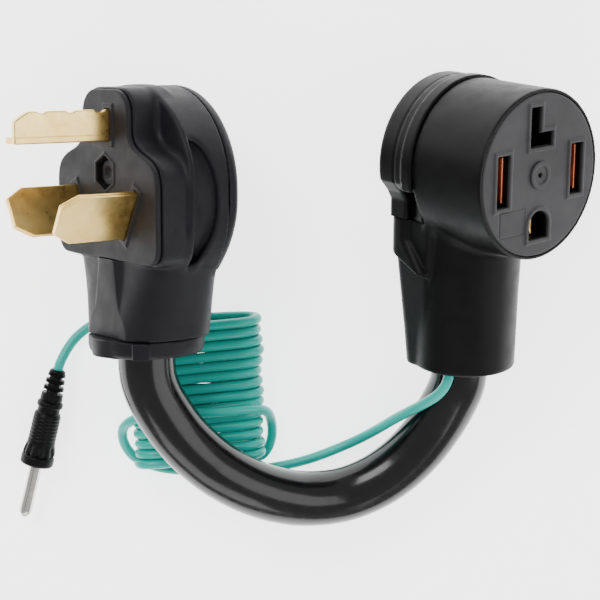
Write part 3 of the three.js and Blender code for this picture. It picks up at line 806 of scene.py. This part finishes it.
def receptacle_housing(looks):
    field = Field((-26, RECEPTACLE_EXIT - 1, -13), (26, 60, 31), 0.42)
    drum = slab(field, drum_radius(field) - DRUM_R, -6, FACE_Z, 0.5)
    drum = np.maximum(drum, DRUM_BACK - 0.1 - field.z)
    shank = np.maximum(blend(receptacle_neck(field), receptacle_wing(field), 0.7), field.y - PLATE_TOP)
    end = meet(shank, RECEPTACLE_EXIT - field.y, 1.0)
    body = blend(drum, end, 2.4)
    body = np.maximum(body, np.minimum(DRUM_BACK - 0.12 - field.z, field.y - PLATE_TOP))
    body = carve(body, np.maximum(drum_radius(field) - FACE_R - 0.12, 10.4 - field.z), 0.2)
    body = carve(body, np.maximum(drum_radius(field) - DRUM_HOLLOW_R, 1 - field.z), 0.2)
    seat = np.maximum(rod_y(field, BUSHING_R + 0.1), BUSHING_BACK - 0.2 - field.z)
    body = carve(body, np.maximum(seat, field.y - RECEPTACLE_EXIT - 6.4), 0.4)
    piece = field.mesh("receptacle_housing_skin", body, RECEPTACLE, looks["satin"])
    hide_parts("receptacle_housing")


def hood_outline():
    sides = [(COVER_HALF, 16), (COVER_HALF, 22.6), (COVER_HALF + 1.6, 25.4)]
    return mirrored(sides + arc(0, DRUM_Y, COVER_R, -10, 88, 40))


def receptacle_cover(looks):
    field = Field((-27, 16, -12.8), (27, 60, 4), 0.4)
    hood = slab(field, outline(field, hood_outline()), COVER_BACK, DRUM_BACK - 0.2, 1.5)
    # Below the waist only a thin plate goes on down, with a narrower core in front of it.
    side = 18.2 + 0.3 * (field.z + 4) - np.abs(field.x)
    cut = np.maximum(np.maximum(field.y - 26.4, side), -4.0 - field.z)
    body = carve(hood, cut, 1.0)
    body = np.maximum(body, COVER_BOTTOM - field.y)
    # A parting line round the hood, and a raised band ahead of it.
    reach = np.maximum(drum_radius(field) - COVER_R, hood)
    line = np.maximum(np.abs(field.z + 4.6) - 0.18, -(reach + 0.3))
    body = carve(body, np.maximum(line, 27 - field.y), 0.25)
    band = np.maximum(np.abs(drum_radius(field) - COVER_R) - 0.45, np.abs(field.z - 0.7) - 2.0)
    body = blend(body, np.maximum(band, 27 - field.y), 0.6)
    panel = slab(field, outline(field, box_outline(0, 37, 26, 26)), -14, COVER_BACK + 0.35, 0.15)
    body = carve(body, panel, 0.3)
    inner = np.maximum(drum_radius(field) - COVER_HOLLOW_R, COVER_BACK + 3.6 - field.z)
    inner = np.maximum(inner, 22 - field.y)
    body = carve(body, inner, 0.2)
    piece = field.mesh("receptacle_rear_cover_skin", body, RECEPTACLE, looks["satin"])
    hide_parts("receptacle_rear_cover")


def receptacle_face(looks):
    field = Field((-24.7, DRUM_Y - 24.7, 26.4), (24.7, DRUM_Y + 24.7, 31.2), 0.2)
    body = slab(field, drum_radius(field) - FACE_R, 26.8, FACE_Z + 0.1, 0.5)
    for shape in slot_outlines(1.15):
        body = blend(body, slab(field, outline(field, shape), 27, FACE_Z + 0.55, 0.3), 0.35)
    # A plain framed patch, sunk as a fine line.
    patch = outline(field, box_outline(-11.2, 20.6, 10.6, 7.6))
    body = carve(body, np.maximum(np.abs(patch) - 0.16, FACE_Z - 0.12 - field.z), 0.15)
    for shape in slot_outlines(-0.05):
        body = carve(body, slab(field, outline(field, shape), 20, 40, 0.05), 0.3)
    body = carve(body, np.maximum(drum_radius(field) - 3.15, 27.5 - field.z), 0.25)
    piece = field.mesh("receptacle_face_skin", body, RECEPTACLE, looks["grey"], 0.7)
    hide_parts("receptacle_face")


def face_rivet(looks):
    """A round boss with a domed rim and a small pin hole."""
    field = Field((-4.6, DRUM_Y - 4.5, 13), (4.6, DRUM_Y + 4.5, 31.6), 0.18)
    radius = drum_radius(field)
    head = blend(slab(field, radius - 2.95, 13.8, FACE_Z + 0.6, 0.5),
                 slab(field, radius - 4.2, FACE_Z + 0.15, FACE_Z + 0.7, 0.25), 0.4)
    head = carve(head, np.maximum(radius - 2.7, FACE_Z + 0.35 - field.z), 0.3)
    head = carve(head, np.maximum(radius - 0.75, FACE_Z - 3 - field.z), 0.35)
    piece = field.mesh("receptacle_centre_rivet_skin", head, RECEPTACLE, looks["grey"])
    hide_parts("receptacle_centre_rivet")


def contact_leaves(looks):
    """Sprung leaves just inside the line slots, and a curved one in the earth slot."""
    for side, label in ((-1, "left"), (1, "right")):
        centre = side * LINE_SLOT["x"]
        field = Field((centre - 2.8, DRUM_Y - 8.2, 15), (centre + 2.8, DRUM_Y + 8.2, 30), 0.2)
        leaves = FAR
        for at, top in LEAVES:
            bulge = 0.25 * np.exp(-((field.z - 26.5) / 1.2) ** 2)
            leaf = np.maximum(np.abs(field.x - centre - at - bulge) - 0.42, np.abs(field.y - DRUM_Y) - 6.8)
            leaves = np.minimum(leaves, np.maximum(leaf, np.abs(field.z - (16 + top) / 2) - (top - 16) / 2))
        piece = field.mesh(f"line_leaves_{label}", leaves, RECEPTACLE, looks["copper"])
    field = Field((-1, 14, 15), (3, 23.4, 29), 0.2)
    bow = 0.25 * (field.y - 18) ** 2 / 6
    leaf = np.maximum(np.abs(field.x - 0.6 - bow) - 0.45, np.abs(field.y - 17.8) - 2.9)
    leaf = np.maximum(leaf, np.abs(field.z - 21.6) - 5)
    piece = field.mesh("ground_leaf", leaf, RECEPTACLE, looks["brass"])


def slot_liners(looks):
    """Black walls inside the four slots, from under the face's front to the contacts."""
    field = Field((-19.5, 13, 21.5), (19.5, 55.5, FACE_Z), 0.22)
    walls = FAR
    for outer, inner in zip(slot_outlines(0.25), slot_outlines(-0.35)):
        wall = np.maximum(outline(field, outer), -outline(field, inner))
        walls = np.minimum(walls, wall)
    walls = np.maximum(walls, np.abs(field.z - 25.8) - 3.85)
    piece = field.mesh("slot_liners", walls, RECEPTACLE, looks["satin"])


def neck_bushing(looks):
    field = Field((-14, RECEPTACLE_EXIT, -10.8), (14, RECEPTACLE_EXIT + 7, 14), 0.3)
    low, high = RECEPTACLE_EXIT + 0.6, RECEPTACLE_EXIT + 6.1
    body = np.maximum(between(field, rod_y(field, BUSHING_R), low, high), BUSHING_BACK - field.z)
    body = carve(body, rod_y(field, CORD_R + 0.2), 0.5)
    body = carve(body, rod_y(field, WIRE_R + 0.2, *LEAD_EXIT), 0.4)
    piece = field.mesh("receptacle_neck_bushing_skin", body, RECEPTACLE, looks["satin"])
    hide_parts("receptacle_neck_bushing")


# ---- pin connector, along -y of its own frame ----
# Each profile runs from the lead to the pin, as place along y and radius
RELIEF_PROFILE = ((1.1, 2.0), (0.6, 2.5), (-1, 2.9), (-6, 3.4), (-8.6, 3.6), (-9.4, 3.5))
GRIP_PROFILE = (
    (-9.6, 3.9), (-10, 4.15), (-11.1, 4.15), (-11.6, 3.6), (-13, 3.6), (-13.5, 4.1), (-14.6, 4.4),
    (-22.6, 4.45), (-24.6, 4.6), (-26.4, 5.0), (-27.3, 5.0),
)
DISC_PROFILE = ((-27.4, 4.7), (-28.1, 5.35), (-30.3, 5.35), (-30.9, 4.8), (-31, 4.4))
PIN_PROFILE = (
    (-29.8, 1.95), (-46.4, 2.0), (-47.4, 1.8), (-48.2, 1.35), (-48.7, 0.8), (-48.95, 0.2),
)
RIB_COUNT = 12
RING_RATE = 5.4


def connector_matrix():
    turn = Matrix.Rotation(math.radians(CONNECTOR_LEAN), 4, "Z")
    return Matrix.Translation(world(CONNECTOR_AT)) @ turn @ Matrix.Scale(MM, 4)


def turned_field(field, profile):
    """Radius along y, blended by straight steps between the profile's points."""
    ys = [p[0] for p in profile][::-1]
    radii = [p[1] for p in profile][::-1]
    radius = np.interp(field.y, ys, radii)
    ends = np.maximum(ys[0] - field.y, field.y - ys[-1])
    return np.maximum((np.sqrt(field.x ** 2 + field.z ** 2) - radius) * 0.8, ends)


def connector(looks):
    matrix = connector_matrix()
    field = Field((-4.2, -9.6, -4.2), (4.2, 1.4, 4.2), 0.16)
    relief = turned_field(field, RELIEF_PROFILE)
    for k in range(3):
        for side in (-1, 1):
            for axis, shift in ((field.x, 0.0), (field.z, -1.15)):
                slot = np.maximum(np.abs(field.y + 1.6 + 2.3 * k + shift) - 0.5, 1.9 - side * axis)
                relief = carve(relief, slot, 0.25)
    relief = carve(relief, rod_y(field, WIRE_R + 0.1), 0.2)
    piece = field.mesh("pin_strain_relief_skin", relief, matrix, looks["satin"])
    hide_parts("pin_strain_relief")
    parts = [piece]
    field = Field((-5.6, -27.8, -5.6), (5.6, -9, 5.6), 0.2)
    grip = turned_field(field, GRIP_PROFILE)
    angle = np.arctan2(field.z, field.x)
    ribs = 0.16 * np.cos(RIB_COUNT * angle) * np.clip(-23.6 - field.y, 0, 1)
    ringed = (field.y > -23) & (field.y < -14.8)
    grip = grip + 0.12 * np.maximum(0, np.cos(RING_RATE * field.y)) * ringed + ribs
    piece = field.mesh("pin_connector_body_skin", grip, matrix, looks["satin"])
    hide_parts("pin_connector_body")
    parts.append(piece)
    field = Field((-6, -31.6, -6), (6, -27, 6), 0.2)
    disc = turned_field(field, DISC_PROFILE)
    disc = carve(disc, np.maximum(rod_y(field, 2.35), field.y + 29), 0.3)
    piece = field.mesh("pin_connector_disc_skin", disc, matrix, looks["satin"])
    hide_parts("pin_connector_disc")
    parts.append(piece)
    field = Field((-2.5, -49.4, -2.5), (2.5, -29.6, 2.5), 0.14)
    pin = turned_field(field, PIN_PROFILE)
    seam = np.maximum(np.abs(field.x + 0.2) - 0.07, 1.65 - field.z)
    pin = carve(pin, np.maximum(seam, -46.6 - field.y), 0.15)
    piece = field.mesh("ground_pin_skin", pin, matrix, looks["nickel"])
    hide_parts("ground_pin")
    parts.append(piece)
    return parts


def dress_frame(looks):
    """CAD nodes that stay get their finished materials."""
    finish = {
        "copper": ("line_contact_left", "line_contact_right"),
        "brass": ("neutral_contact", "ground_contact", "plug_crimp_black", "plug_crimp_white",
                  "plug_crimp_red"),
        "pad": ("contact_carrier", "plug_cord_clamp", "receptacle_cord_clamp"),
        "cord": ("plug_wire_black", "receptacle_wire_black"),
        "white": ("plug_wire_white", "receptacle_wire_white"),
        "red": ("plug_wire_red", "receptacle_wire_red"),
    }
    for look, nodes in finish.items():
        for node in nodes:
            data = bpy.data.objects[node].data
            data.materials.clear()
            data.materials.append(looks[look])


make_camera()
make_studio()
make_floor()
LOOKS = make_looks()
lead_curve, lead_length = make_cords(LOOKS)
plug_body(LOOKS)
plug_cover(LOOKS)
plug_pad(LOOKS)
plug_collar(LOOKS)
hot_blade("hot_blade_left", -1, LOOKS)
hot_blade("hot_blade_right", 1, LOOKS)
neutral_blade(LOOKS)
receptacle_housing(LOOKS)
receptacle_cover(LOOKS)
receptacle_face(LOOKS)
face_rivet(LOOKS)
contact_leaves(LOOKS)
slot_liners(LOOKS)
neck_bushing(LOOKS)
connector(LOOKS)
dress_frame(LOOKS)
